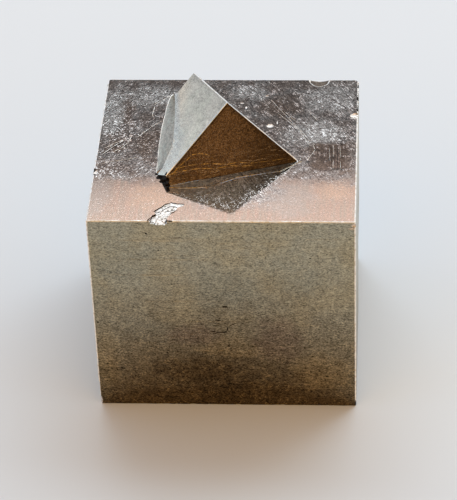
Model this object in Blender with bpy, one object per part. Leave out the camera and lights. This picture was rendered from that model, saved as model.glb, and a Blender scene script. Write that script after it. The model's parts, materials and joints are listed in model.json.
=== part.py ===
"""Pyrite: a large cube crystal with a smaller cube grown through its top face.

Units are metres and +Z is up. The origin is the middle of the large cube's underside,
+X is to the right and -Y is the front. The two crystals grew together, so they are one solid.
"""

import random
from math import radians

import bmesh
import bpy
from mathutils import Euler, Matrix, Vector

MM = 0.001

# The large cube
CUBE_WIDTH = 50.0 * MM
CUBE_DEPTH = 47.2 * MM
CUBE_HEIGHT = 44.7 * MM
CUBE_EDGE = 0.2 * MM  # worn strip along each edge

# The small cube stands on a hidden corner. Its three edges fall away from the apex to the
# right, to the front left and to the back.
SMALL_SIDE = 27.2 * MM
SMALL_APEX = Vector((0.7, -3.85, 57.95)) * MM
SMALL_TURN = Euler((radians(-119.2), radians(44.8), radians(-2.8)))
SMALL_EDGE = 0.1 * MM
ROOT_DEPTH = 4.0 * MM  # how far the small cube and its foot reach into the large one

# A broken corner where the small cube's front left edge meets the top face: three points of
# each break, on or just above the top face
CORNER_BREAKS = (
    ((-12.9, -8.7, 0.0), (-10.8, -12.1, 2.1), (-10.07, -12.46, 0.0)),
    ((-12.9, -9.1, 0.9), (-11.3, -11.3, 2.9), (-11.2, -12.0, 0.0)),
)

# The low facet at the foot of the small cube's left face: its line on the top face, and its
# line above, with the height over the top face
FOOT_OUTER = (
    (-11.6, 18.2), (-12.3, 15.9), (-12.55, 13.6), (-12.9, 8.4), (-13.05, 4.0), (-13.1, -0.7),
    (-12.95, -4.3), (-12.95, -8.2),
)  # fmt: skip
FOOT_INNER = (
    (-10.85, 14.0, 0.72), (-10.6, 9.6, 1.2), (-10.4, 4.5, 1.7), (-10.2, -2.6, 2.2),
    (-11.3, -4.9, 1.25), (-11.4, -7.9, 1.2),
)  # fmt: skip

# Growth ledges on the top face, along the small cube's foot in front and on the right: height
# and outline of each
GROWTH_LEDGES = (
    (
        0.1,
        ((-10.2, -13.1), (-5.9, -13.25), (-3.05, -13.0), (-0.7, -11.65), (2.5, -9.9), (5.3, -9.0),
         (10.6, -7.7), (13.8, -5.1), (14.3, -3.6), (2.0, 4.0), (-8.0, -4.0)),
    ),
    (
        0.2,
        ((8.7, 5.2), (10.4, 2.6), (12.2, -0.3), (13.4, -2.5), (14.6, -4.6), (13.9, -5.0), (2.0, 2.0),
         (2.0, 6.0)),
    ),
)  # fmt: skip

# The flake scar on the front top edge: outlines on the top face, in millimetres from the
# middle, and how deep each floor is at its back and at the front face
SCAR_FLOORS = (
    (
        ((-13.1, -24.5), (-12.8, -21.95), (-12.05, -21.3), (-12.6, -20.5), (-10.8, -19.95),
         (-9.0, -20.7), (-9.65, -21.95), (-10.05, -23.3), (-9.6, -24.5)),
        0.15, 0.85,
    ),
    (
        ((-12.6, -20.6), (-11.2, -19.1), (-10.55, -18.25), (-9.25, -17.8), (-8.3, -18.1),
         (-7.0, -18.2), (-7.2, -18.9), (-8.15, -19.4), (-8.5, -20.25), (-9.4, -21.0), (-10.8, -20.3)),
        0.12, 0.45,
    ),
    (((-12.4, -24.5), (-11.9, -22.3), (-10.9, -21.5), (-10.3, -22.6), (-10.2, -24.5)), 0.3, 1.2),
)  # fmt: skip

# Round flakes off the edges: centre and radii, in millimetres, and fineness
FLAKES = (
    ("back_scallop", (17.2, 23.75, 44.95), (2.3, 2.9, 0.75), 3),
    ("right_flake", (25.2, 10.9, 44.85), (1.7, 0.75, 0.5), 2),
    ("left_flake", (-24.9, -7.7, 44.75), (0.8, 1.2, 0.4), 2),
    ("back_corner", (25.1, 23.7, 44.8), (0.7, 0.9, 0.8), 2),
    ("front_corner", (25.1, -23.7, 43.9), (1.0, 0.35, 0.5), 2),
    ("front_left_nick", (-25.05, -23.65, 41.4), (0.35, 0.4, 0.5), 2),
    ("bottom_left_nick", (-25.0, -23.6, 1.0), (0.5, 0.6, 1.3), 2),
)

# Small nicks along worn edges: start and end of each stretch, how many, and their size
NICK_STRETCHES = (
    ((-24.0, 23.6, 44.7), (14.0, 23.6, 44.7), 9, 0.32),
    ((25.0, 12.5, 44.7), (25.0, 22.8, 44.7), 6, 0.42),
    ((-22.0, -23.6, 0.0), (23.0, -23.6, 0.0), 9, 0.36),
    ((-25.0, 22.0, 44.7), (-25.0, -4.0, 44.7), 4, 0.28),
    ((-22.0, 23.6, 0.0), (22.0, 23.6, 0.0), 5, 0.4),
    ((25.0, -21.0, 0.0), (25.0, 21.0, 0.0), 5, 0.38),
    ((-25.0, -21.0, 0.0), (-25.0, 21.0, 0.0), 5, 0.38),
)
NICK_SEED = 7

# Etch pits on the front face: middle (across, up), length, height and turn in degrees
FRONT_PITS = (
    (0.2, 24.5, 1.1, 0.3, 0.0), (0.65, 14.9, 0.4, 0.35, 20.0), (-13.9, 41.8, 0.45, 0.35, 10.0),
    (-8.3, 40.8, 2.8, 0.22, 2.0), (-8.25, 9.05, 0.4, 0.35, 0.0), (-1.2, 21.2, 1.3, 0.22, -3.0),
    (-1.4, 20.0, 1.6, 0.22, 3.0), (-2.3, 18.5, 1.2, 0.25, -4.0), (-0.4, 18.3, 1.9, 0.25, 4.0),
    (0.5, 19.1, 0.9, 0.22, 80.0), (1.6, 20.2, 1.9, 0.22, 28.0), (0.0, 23.0, 1.6, 0.2, 0.0),
)  # fmt: skip
PIT_DEPTH = 0.22 * MM

# Growth steps, where a face dropped back by a hair: corners of each block cut away
GROWTH_STEPS = (
    ("left_step", (-26.0, -30.0, -1.0), (-24.8, 30.0, 5.6)),
    ("back_step", (-30.0, 23.3, -1.0), (30.0, 26.0, 7.4)),
    ("back_upper_step", (6.5, 23.45, 7.0), (30.0, 26.0, 19.0)),
    ("right_step", (24.75, 9.0, -1.0), (26.0, 30.0, 15.5)),
)

PYRITE_COLOUR = (0.42, 0.36, 0.25, 1.0)
PYRITE_ROUGHNESS = 0.3


def remove_objects():
    for old in list(bpy.data.objects):
        bpy.data.objects.remove(old, do_unlink=True)


def on_top(x, y, height=0.0):
    """A point over the top face, from millimetres."""
    return Vector((x * MM, y * MM, CUBE_HEIGHT + height * MM))


def object_from(mesh_builder, name, collection=None):
    """Turns a bmesh into a named object. Tools for a Boolean go in a collection of their own."""
    bmesh.ops.recalc_face_normals(mesh_builder, faces=mesh_builder.faces)
    mesh = bpy.data.meshes.new(name)
    mesh_builder.to_mesh(mesh)
    mesh_builder.free()
    made = bpy.data.objects.new(name, mesh)
    (collection or bpy.context.scene.collection).objects.link(made)
    if collection:
        made.hide_render = True
        made.display_type = "WIRE"
    return made


def bevelled_block(size, edge, matrix):
    """A block with a narrow flat strip along every edge."""
    shape = bmesh.new()
    bmesh.ops.create_cube(shape, size=1.0, matrix=matrix @ Matrix.Diagonal((*size, 1.0)))
    bmesh.ops.bevel(
        shape, geom=shape.edges[:], offset=edge, segments=1, profile=0.5, affect="EDGES", material=-1
    )
    return shape


def cut_off(shape, point, normal):
    """Removes what lies on the normal's side of a plane, and closes the cut."""
    parts = shape.verts[:] + shape.edges[:] + shape.faces[:]
    cut = bmesh.ops.bisect_plane(shape, geom=parts, plane_co=point, plane_no=normal, clear_outer=True)
    rim = [part for part in cut["geom_cut"] if isinstance(part, bmesh.types.BMEdge)]
    bmesh.ops.holes_fill(shape, edges=rim, sides=0)


def hull(points):
    """The convex solid round some points."""
    shape = bmesh.new()
    corners = [shape.verts.new(point) for point in points]
    made = bmesh.ops.convex_hull(shape, input=corners)
    spare = {part for part in made["geom_interior"] if isinstance(part, bmesh.types.BMVert)}
    bmesh.ops.delete(shape, geom=list(spare), context="VERTS")
    return shape


def prism(lower, upper):
    """A solid between two rings of the same number of points."""
    shape = bmesh.new()
    rings = [[shape.verts.new(point) for point in ring] for ring in (lower, upper)]
    edges = []
    for ring in rings:
        shape.faces.new(ring)
        edges += [shape.edges.get((ring[i - 1], ring[i])) for i in range(len(ring))]
    bmesh.ops.bridge_loops(shape, edges=edges)
    return shape


def ellipsoid(centre, radii, subdivisions):
    shape = bmesh.new()
    place = Matrix.Translation(centre) @ Matrix.Diagonal((*radii, 1.0))
    bmesh.ops.create_icosphere(shape, subdivisions=subdivisions, radius=1.0, matrix=place)
    return shape


def large_cube():
    size = (CUBE_WIDTH, CUBE_DEPTH, CUBE_HEIGHT)
    middle = Matrix.Translation((0.0, 0.0, CUBE_HEIGHT / 2))
    return object_from(bevelled_block(size, CUBE_EDGE, middle), "pyrite_crystal")


def small_cube(growths):
    """The part of the small cube that shows, down to its root, with its front left corner broken."""
    from_apex = Matrix.Translation(SMALL_APEX) @ SMALL_TURN.to_matrix().to_4x4()
    half = Vector((SMALL_SIDE, SMALL_SIDE, SMALL_SIDE)) / 2
    shape = bevelled_block((SMALL_SIDE,) * 3, SMALL_EDGE, from_apex @ Matrix.Translation(half))
    cut_off(shape, (0.0, 0.0, CUBE_HEIGHT - ROOT_DEPTH), (0.0, 0.0, -1.0))
    for points in CORNER_BREAKS:
        first, second, third = (on_top(*point) for point in points)
        outward = (third - first).cross(second - first)
        cut_off(shape, first, outward)
    return object_from(shape, "small_cube", growths)


def foot_facet(growths):
    """A wedge that fills the corner between the top face and the small cube's left face."""
    outer = [on_top(x, y, -0.01) for x, y in FOOT_OUTER]
    inner = [on_top(x, y, height) for x, y, height in FOOT_INNER]
    root = [on_top(x + 4.0, y, -1.0) for x, y in FOOT_OUTER]
    return object_from(hull(outer + inner + root), "foot_facet", growths)


def growth_ledges(growths):
    """Slabs a hair high that step down to the top face round the small cube."""
    for number, (height, outline) in enumerate(GROWTH_LEDGES, 1):
        lower = [on_top(x, y, -1.0) for x, y in outline]
        upper = [on_top(x, y, height) for x, y in outline]
        object_from(prism(lower, upper), f"growth_ledge_{number}", growths)


def flake_scar(chips):
    """Sloping floors that overlap, deepest where they run out through the front face."""
    for number, (outline, back_depth, front_depth) in enumerate(SCAR_FLOORS, 1):
        back = max(y for _, y in outline)
        front = min(y for _, y in outline)
        slope = (front_depth - back_depth) / (back - front)
        lower = [on_top(x, y, -back_depth - slope * (back - y)) for x, y in outline]
        upper = [on_top(x, y, 1.0) for x, y in outline]
        object_from(prism(lower, upper), f"scar_floor_{number}", chips)


def edge_flakes(chips):
    for name, centre, radii, subdivisions in FLAKES:
        shape = ellipsoid(Vector(centre) * MM, Vector(radii) * MM, subdivisions)
        object_from(shape, name, chips)


def edge_nicks(chips):
    """Small uneven nicks, spaced at random along each worn stretch of edge."""
    chance = random.Random(NICK_SEED)
    for number, (start, end, count, size) in enumerate(NICK_STRETCHES, 1):
        start, end = Vector(start) * MM, Vector(end) * MM
        along = (end - start).normalized()
        for step in range(count):
            share = (step + chance.uniform(0.15, 0.85)) / count
            radii = [size * chance.uniform(0.7, 1.3) * MM for _ in range(3)]
            stretch = chance.uniform(1.2, 2.4)
            radii = [r * (stretch if abs(a) > 0.5 else 1.0) for r, a in zip(radii, along)]
            shape = ellipsoid(start.lerp(end, share), radii, 1)
            object_from(shape, f"nick_{number}_{step + 1}", chips)


def front_pits(chips):
    """Shallow lozenge pits with sharp ends."""
    front = -CUBE_DEPTH / 2
    for number, (across, up, length, height, turn) in enumerate(FRONT_PITS, 1):
        shape = bmesh.new()
        bmesh.ops.create_cone(shape, cap_ends=True, segments=4, radius1=0.5, radius2=0.2, depth=1.0)
        size = Matrix.Diagonal((length * MM, height * MM, 2 * PIT_DEPTH, 1.0))
        face_front = Matrix.Rotation(radians(-90.0), 4, "X") @ Matrix.Rotation(radians(turn), 4, "Z")
        place = Matrix.Translation((across * MM, front, up * MM))
        bmesh.ops.transform(shape, matrix=place @ face_front @ size, verts=shape.verts)
        object_from(shape, f"front_pit_{number}", chips)


def growth_steps(chips):
    for name, low, high in GROWTH_STEPS:
        low, high = Vector(low) * MM, Vector(high) * MM
        shape = bmesh.new()
        place = Matrix.Translation((low + high) / 2) @ Matrix.Diagonal((*(high - low), 1.0))
        bmesh.ops.create_cube(shape, size=1.0, matrix=place)
        object_from(shape, name, chips)


def boolean(body, collection, operation):
    modifier = body.modifiers.new(collection.name, "BOOLEAN")
    modifier.operation = operation
    modifier.operand_type = "COLLECTION"
    modifier.collection = collection
    modifier.solver = "EXACT"


def tool_collection(name):
    made = bpy.data.collections.new(name)
    bpy.context.scene.collection.children.link(made)
    return made


def pyrite_material():
    made = bpy.data.materials.new("pyrite")
    made.use_nodes = True
    shader = made.node_tree.nodes["Principled BSDF"]
    shader.inputs["Base Color"].default_value = PYRITE_COLOUR
    shader.inputs["Metallic"].default_value = 1.0
    shader.inputs["Roughness"].default_value = PYRITE_ROUGHNESS
    return made


def main():
    remove_objects()
    crystal = large_cube()
    crystal.data.materials.append(pyrite_material())

    growths = tool_collection("growths")
    small_cube(growths)
    foot_facet(growths)
    growth_ledges(growths)
    boolean(crystal, growths, "UNION")

    chips = tool_collection("chips")
    flake_scar(chips)
    edge_flakes(chips)
    edge_nicks(chips)
    front_pits(chips)
    growth_steps(chips)
    boolean(crystal, chips, "DIFFERENCE")


main()
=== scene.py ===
"""The looks of a pyrite specimen: a large cube crystal with a smaller cube grown through its top.

Run as a script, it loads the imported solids, builds the crystal again with its worn edges, flakes,
scratches and striations, gives every kind of face its own finish, and sets up the studio.
The scene is in metres and the tables are in millimetres. +Z is up, -Y is the front, and the large
cube stands on Z = 0.
"""

import json
import random
from math import cos, radians, sin

import bmesh
import bpy
from bpy.props import FloatProperty, FloatVectorProperty, IntProperty, PointerProperty
from mathutils import Euler, Matrix, Vector, noise

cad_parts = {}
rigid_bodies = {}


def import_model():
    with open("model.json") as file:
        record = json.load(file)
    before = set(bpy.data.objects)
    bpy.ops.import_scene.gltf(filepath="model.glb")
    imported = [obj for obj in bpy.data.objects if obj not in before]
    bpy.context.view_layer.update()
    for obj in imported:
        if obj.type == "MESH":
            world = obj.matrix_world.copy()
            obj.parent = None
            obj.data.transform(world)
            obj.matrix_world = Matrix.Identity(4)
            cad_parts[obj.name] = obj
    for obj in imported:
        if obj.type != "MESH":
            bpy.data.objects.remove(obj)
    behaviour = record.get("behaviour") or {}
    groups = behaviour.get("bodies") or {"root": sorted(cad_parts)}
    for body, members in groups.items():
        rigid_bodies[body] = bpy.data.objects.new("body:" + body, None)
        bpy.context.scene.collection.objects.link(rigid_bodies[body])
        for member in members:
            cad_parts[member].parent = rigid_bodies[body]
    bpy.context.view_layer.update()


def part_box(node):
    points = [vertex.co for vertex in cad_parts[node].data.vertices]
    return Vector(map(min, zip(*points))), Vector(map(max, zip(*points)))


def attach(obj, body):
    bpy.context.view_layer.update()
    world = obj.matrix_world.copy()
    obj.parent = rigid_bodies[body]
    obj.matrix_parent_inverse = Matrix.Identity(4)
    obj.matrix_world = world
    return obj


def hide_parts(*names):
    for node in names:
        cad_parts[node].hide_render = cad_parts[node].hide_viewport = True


bl_info = {
    "name": "Pyrite Cube Specimen",
    "version": (1, 0, 0),
    "blender": (4, 5, 0),
    "location": "3D View > Sidebar > Pyrite",
    "description": "Builds a pyrite cube with a smaller intergrown cube, and a plain studio for it",
    "category": "Add Mesh",
}

MM = 0.001
NODE = "pyrite_crystal"
BODY = "root"

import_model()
NODE_LOW, NODE_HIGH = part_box(NODE)
UP = Vector((0.0, 0.0, 1.0))

# The large cube: the height of its top face, the place of its front face, and its three sides
TOP = 44.7 * MM
FRONT = NODE_LOW.y
SIZE = Vector((NODE_HIGH.x - NODE_LOW.x, NODE_HIGH.y - NODE_LOW.y, TOP))

# The small cube stands on a hidden corner: its edges fall away from the apex to the right, to the
# front left and to the back, and it is rooted in the large cube
APEX = Vector((0.7, -3.85, 57.95)) * MM
SMALL_TURN = Euler((radians(-119.2), radians(44.8), radians(-2.8)))
SMALL_CUTS = 24  # across each of its faces
ROOT_DEPTH = 4.0 * MM

# The kinds of surface, in the order of the crystal's material slots
MIRROR, SATIN, SMALL, SMALL_FRONT, FOOT, EDGE, FLAKE, HOLLOW = range(8)

RUB_SIZE = 0.6 * MM  # of the unevenness of a rubbed edge
RUB_SHARE = 0.2  # of the rubbed edge's width, by which it is uneven
WAVE_SIZE = 7.0 * MM  # of the slight waves in a face
IN_FACE = 0.001 * MM  # within which a point counts as lying in a face's plane
CORNER_ANGLE = radians(60)  # a block's own edges turn more than this
ALIGNED = 0.9  # least cosine between a small face's normal and the side that it belongs to
SHARP_ANGLE = radians(14)  # from which the edge between two small faces stays sharp
GROOVE_REACH = 0.62  # half the length of a groove's piece over its stretch, so that pieces meet

# Depths in millimetres of the marks whose tables give none
FOOT_LINE_DEPTH = 0.06
SCRATCH_DEPTH = 0.05
PIT_DEPTH = 0.16
# Width and depth of the fine lines on the small cube
FACE_LINE = (0.1 * MM, 0.03 * MM)

# Roughness of broken surfaces: the size of its bumps and how far they reach
SCAR_ROUGHNESS = (0.7 * MM, 0.09 * MM)
BITE_ROUGHNESS = (0.5 * MM, 0.12 * MM)
FLAKE_ROUGHNESS = (1.1 * MM, 0.05 * MM)

FLOOR_RADIUS = 4.0
# The camera's place, and how many degrees it is turned to the right, tilted down and rolled
CAMERA_PLACE = (30.6 * MM, -399.3 * MM, 326.3 * MM)
CAMERA_ANGLES = (-4.454, 37.411, -2.332)


# ---------------------------------------------------------------- shape helpers


def on_top(x, y, height=0.0):
    """A point over the top face, from millimetres."""
    return Vector((x * MM, y * MM, TOP + height * MM))


def object_from(shape, name, collection):
    """An object with the shape as its mesh. The shape is used up."""
    mesh = bpy.data.meshes.new(name)
    shape.to_mesh(mesh)
    shape.free()
    made = bpy.data.objects.new(name, mesh)
    collection.objects.link(made)
    return made


def tool_from(shape, name, collection, kind, walls=None):
    """A closed shape for a Boolean, whose faces carry the kind of surface that they leave. Walls
    are another kind and an angle in degrees: faces steeper than that carry the walls' kind."""
    bmesh.ops.recalc_face_normals(shape, faces=shape.faces)
    for face in shape.faces:
        face.material_index = kind
        if walls and abs(face.normal.z) < cos(radians(walls[1])):
            face.material_index = walls[0]
    return object_from(shape, name, collection)


def worn_block(size, cuts, wear, place, waviness):
    """A block of fine quads with a rounded, slightly uneven strip along each edge."""
    shape = bmesh.new()
    bmesh.ops.create_cube(shape, size=1.0)
    bmesh.ops.subdivide_edges(shape, edges=shape.edges[:], cuts=cuts, use_grid_fill=True)
    bmesh.ops.transform(shape, matrix=Matrix.Diagonal((*size, 1.0)), verts=shape.verts)
    corners = [edge for edge in shape.edges if edge.calc_face_angle() > CORNER_ANGLE]
    worn = bmesh.ops.bevel(
        shape, geom=corners, offset=wear, segments=2, profile=0.5, affect="EDGES", material=EDGE
    )
    for vert in worn["verts"]:
        shift = noise.noise_vector(vert.co / RUB_SIZE) * wear * RUB_SHARE
        held = [abs(at) > side / 2 - IN_FACE for at, side in zip(vert.co, size)]
        vert.co += Vector([0.0 if flat else part for part, flat in zip(shift, held)])
    bmesh.ops.transform(shape, matrix=place, verts=shape.verts)
    for vert in shape.verts:
        vert.co += noise.noise_vector(vert.co / WAVE_SIZE) * waviness
    return shape


def cut_off(shape, point, normal, kind):
    """Removes what lies on the normal's side of a plane, and closes the cut."""
    parts = shape.verts[:] + shape.edges[:] + shape.faces[:]
    cut = bmesh.ops.bisect_plane(
        shape, geom=parts, plane_co=point, plane_no=normal, clear_outer=True
    )
    rim = [part for part in cut["geom_cut"] if isinstance(part, bmesh.types.BMEdge)]
    for face in bmesh.ops.contextual_create(shape, geom=rim)["faces"]:
        face.material_index = kind


def hull(points):
    """The convex solid round some points."""
    shape = bmesh.new()
    corners = [shape.verts.new(point) for point in points]
    made = bmesh.ops.convex_hull(shape, input=corners)
    spare = {part for part in made["geom_interior"] if isinstance(part, bmesh.types.BMVert)}
    bmesh.ops.delete(shape, geom=list(spare), context="VERTS")
    return shape


def prism(lower, upper):
    """A solid between two rings of the same number of points."""
    shape = bmesh.new()
    rings = [[shape.verts.new(point) for point in ring] for ring in (lower, upper)]
    edges = []
    for ring in rings:
        shape.faces.new(ring)
        edges += [shape.edges.get((ring[i - 1], ring[i])) for i in range(len(ring))]
    bmesh.ops.bridge_loops(shape, edges=edges)
    return shape


def ellipsoid(place, radii, subdivisions):
    """A ball with a radius for each of its axes."""
    shape = bmesh.new()
    matrix = place @ Matrix.Diagonal((*radii, 1.0))
    bmesh.ops.create_icosphere(shape, subdivisions=subdivisions, radius=1.0, matrix=matrix)
    return shape


def roughened(shape, size, amount):
    """Moves a shape's points by a soft noise of the given size."""
    for vert in shape.verts:
        vert.co += noise.noise_vector(vert.co / size) * amount
    return shape


def facing(along, normal):
    """A turn that lays X along a line and Z along a normal."""
    across = normal.cross(along).normalized()
    return Matrix((along, across, normal)).transposed().to_4x4()


def grooves(name, path, normal, width, depth, collection, kind):
    """A groove that follows a path on a face: one slim ellipsoid for each stretch."""
    for number, (start, end) in enumerate(zip(path, path[1:]), 1):
        along = (end - start).normalized()
        radii = ((end - start).length * GROOVE_REACH + width, width / 2, depth)
        place = Matrix.Translation((start + end) / 2) @ facing(along, normal)
        tool_from(ellipsoid(place, radii, 1), f"{name}_{number}", collection, kind)


def top_grooves(name, path, width, depth, collection, kind, height=0.0):
    """A groove in the top face, or at a height over it, from millimetres."""
    points = [on_top(x, y, height) for x, y in path]
    grooves(name, points, UP, width * MM, depth * MM, collection, kind)


def tool_collection(name):
    """An empty collection for the shapes of one Boolean."""
    made = bpy.data.collections.new(name)
    bpy.context.scene.collection.children.link(made)
    return made


def combine(body, collection, operation):
    """Joins or cuts the collection's shapes into the body, and removes them."""
    modifier = body.modifiers.new(collection.name, "BOOLEAN")
    modifier.operation = operation
    modifier.operand_type = "COLLECTION"
    modifier.collection = collection
    modifier.solver = "EXACT"
    modifier.material_mode = "INDEX"
    graph = bpy.context.evaluated_depsgraph_get()
    joined = bpy.data.meshes.new_from_object(body.evaluated_get(graph))
    body.modifiers.remove(modifier)
    body.data = joined
    for tool in list(collection.objects):
        mesh = tool.data
        bpy.data.objects.remove(tool)
        bpy.data.meshes.remove(mesh)
    bpy.data.collections.remove(collection)


def along_slant(point):
    """How far a point lies along a slanting line, on which no two points share a place."""
    return point.x + point.y * 0.7133 + point.z * 0.5171


def put_in_order(body):
    """Cuts the faces into triangles, takes out pairs that lie back to back with no metal between
    them, and sorts points and faces by place, because a Boolean's own order varies."""
    shape = bmesh.new()
    shape.from_mesh(body.data)
    bmesh.ops.triangulate(shape, faces=shape.faces)
    sharing = {}
    for face in shape.faces:
        sharing.setdefault(frozenset(face.verts), []).append(face)
    folded = [face for faces in sharing.values() if len(faces) > 1 for face in faces]
    bmesh.ops.delete(shape, geom=folded, context="FACES")
    shape.verts.sort(key=lambda vert: along_slant(vert.co))
    shape.faces.sort(key=lambda face: along_slant(face.calc_center_median()))
    shape.to_mesh(body.data)
    shape.free()


# ---------------------------------------------------------------- the crystal's own features

# The small cube's front left edge is broken where it met the top face: three points of each break
CORNER_BREAKS = (
    ((-12.9, -8.7, 0.0), (-10.8, -12.1, 2.1), (-10.07, -12.46, 0.0)),
    ((-12.9, -9.1, 0.9), (-11.3, -11.3, 2.9), (-11.2, -12.0, 0.0)),
)

# The foot facet: its rim on the top face, and its upper line on the small cube's left face, whose
# points also have a height over the top face
FOOT_OUTER = (
    (-11.6, 18.2), (-12.0, 17.6), (-12.3, 15.9), (-12.55, 13.6), (-12.65, 11.4), (-12.9, 8.4),
    (-13.05, 5.8), (-13.05, 2.5), (-13.1, -0.7), (-12.95, -4.3), (-12.95, -8.2),
)  # fmt: skip
FOOT_INNER = (
    (-10.85, 14.0, 0.72), (-10.6, 9.6, 1.2), (-10.4, 4.5, 1.7), (-10.25, 1.1, 2.0),
    (-10.2, -2.6, 2.2), (-11.3, -4.9, 1.25), (-11.4, -7.9, 1.2),
)  # fmt: skip
# How deep its rim is sunk, and how far inwards and down its root lies
RIM_SINK, ROOT_INWARDS, ROOT_DOWN = 0.01, 4.0, 1.0

# Growth ledges at the small cube's foot: height, width of the sloping rim, and outline
LEDGES = (
    (
        0.1, 0.14,
        ((-10.2, -13.1), (-8.6, -13.3), (-5.9, -13.25), (-3.05, -13.0), (-0.7, -11.65), (2.5, -9.9),
         (5.3, -9.0), (8.2, -8.25), (10.6, -7.7), (12.2, -6.3), (13.8, -5.1), (14.3, -3.6),
         (2.0, 4.0), (-8.0, -4.0)),
    ),
    (
        0.14, 0.2,
        ((8.7, 5.2), (10.4, 2.6), (12.2, -0.3), (13.4, -2.5), (14.6, -4.6), (13.9, -5.0),
         (2.0, 2.0), (2.0, 6.0)),
    ),
)  # fmt: skip
LEDGE_SINK = 0.02  # how deep their feet are sunk

# The small cube's front face meets the ledge along a dark line
CONTACT_LINE = ((-10.0, -12.6), (-4.0, -10.55), (2.0, -8.5), (8.0, -6.5), (14.0, -4.5))

# The flake scar on the front top edge: depth of each floor at its back and its front, and outline
SCAR_FLOORS = (
    (
        0.12, 0.85,
        ((-13.1, -24.5), (-12.8, -21.95), (-12.05, -21.45), (-12.5, -20.5), (-10.8, -19.95),
         (-9.2, -20.9), (-9.65, -21.95), (-10.0, -23.3), (-9.6, -24.5)),
    ),
    (
        0.08, 0.4,
        ((-12.6, -20.6), (-11.2, -19.1), (-10.55, -18.25), (-9.25, -17.8), (-8.3, -18.1),
         (-7.0, -18.2), (-7.2, -18.9), (-8.15, -19.4), (-8.5, -20.25), (-9.4, -21.0),
         (-10.8, -20.3)),
    ),
    (0.3, 1.2, ((-12.4, -24.5), (-11.9, -22.3), (-10.9, -21.5), (-10.3, -22.6), (-10.2, -24.5))),
    (0.1, 0.35, ((-13.9, -24.5), (-12.9, -22.9), (-12.6, -24.5))),
    (0.1, 0.35, ((-10.2, -24.5), (-10.0, -23.2), (-8.7, -24.5))),
)  # fmt: skip

# Dark cracks round and across the scar, and in the left edge: width, depth, then the path
CRACKS = (
    (0.26, 0.5, ((-13.5, -23.5), (-13.2, -22.9), (-12.9, -22.55))),
    (0.22, 0.6, ((-12.7, -20.5), (-11.85, -20.75), (-11.2, -20.3), (-10.2, -19.2), (-9.6, -18.85))),
    (0.22, 0.6, ((-9.6, -18.85), (-8.7, -18.85), (-8.3, -19.1))),
    (0.2, 0.7, ((-10.3, -20.2), (-9.7, -20.2), (-8.75, -19.7), (-8.2, -20.35))),
    (0.2, 0.4, ((-9.55, -17.7), (-9.15, -18.0), (-8.7, -18.0))),
    (0.2, 0.4, ((-7.95, -19.15), (-7.5, -18.9), (-7.0, -18.5))),
    (0.3, 1.2, ((-8.6, -20.65), (-9.3, -21.3), (-9.8, -22.05), (-10.1, -22.7), (-10.2, -23.4))),
    (0.26, 0.45, ((-10.3, -23.55), (-9.7, -23.45), (-9.0, -23.5))),
    (0.2, 1.2, ((-12.7, -23.0), (-12.35, -23.3), (-12.0, -23.6))),
    (0.14, 0.9, ((-11.6, -21.2), (-11.2, -20.9))),
    (0.2, 1.0, ((-11.8, -22.1), (-11.4, -21.9))),
    (0.16, 1.1, ((-11.0, -22.6), (-10.6, -23.0))),
    (0.5, 0.3, ((-25.0, -7.0), (-24.8, -7.5), (-24.95, -8.0))),
    (0.3, 0.3, ((-25.0, -8.8), (-24.6, -9.0))),
)

# Bites round the broken corner's rim: middle, over the top face, and radii
CORNER_BITES = (
    ((-12.85, -8.8, 0.3), (0.45, 0.3, 0.5)), ((-12.6, -9.5, 1.35), (0.5, 0.45, 0.4)),
    ((-11.9, -10.4, 1.9), (0.6, 0.5, 0.4)), ((-11.0, -11.5, 2.3), (0.45, 0.7, 0.5)),
    ((-10.5, -12.2, 1.2), (0.35, 0.5, 0.6)), ((-11.6, -11.2, 0.1), (0.7, 0.5, 0.3)),
    ((-10.6, -12.3, 0.1), (0.6, 0.4, 0.3)), ((-12.5, -9.9, 0.1), (0.5, 0.6, 0.25)),
)  # fmt: skip

# Flakes off the edges and nicks in the top face: name, middle, radii and fineness
FLAKES = (
    ("back_scallop", (17.2, 23.75, 44.95), (2.3, 2.9, 0.75), 4),
    ("right_flake", (25.2, 10.9, 44.9), (1.9, 1.1, 0.6), 3),
    ("left_flake", (-24.5, -8.3, 44.75), (0.45, 0.7, 0.25), 2),
    ("back_corner", (25.1, 23.7, 44.8), (0.7, 0.9, 0.8), 3),
    ("front_corner", (25.1, -23.7, 43.9), (1.0, 0.35, 0.5), 2),
    ("front_corner_crack", (24.4, -23.65, 43.2), (0.9, 0.12, 0.14), 2),
    ("front_left_nick", (-25.05, -23.65, 41.4), (0.35, 0.4, 0.5), 2),
    ("bottom_left_nick", (-25.0, -23.6, 1.0), (0.5, 0.6, 1.3), 2),
    ("bright_speck", (8.0, 7.4, 44.75), (0.75, 0.65, 0.22), 2),
    ("apex_nick_a", (2.2, 15.2, 44.7), (0.4, 0.16, 0.08), 2),
    ("apex_nick_b", (3.05, 13.7, 44.7), (0.2, 0.4, 0.08), 2),
    ("back_nick", (7.0, 17.7, 44.7), (0.42, 0.14, 0.08), 2),
    ("middle_nick", (9.35, 8.5, 44.7), (0.12, 0.5, 0.08), 2),
)

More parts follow.
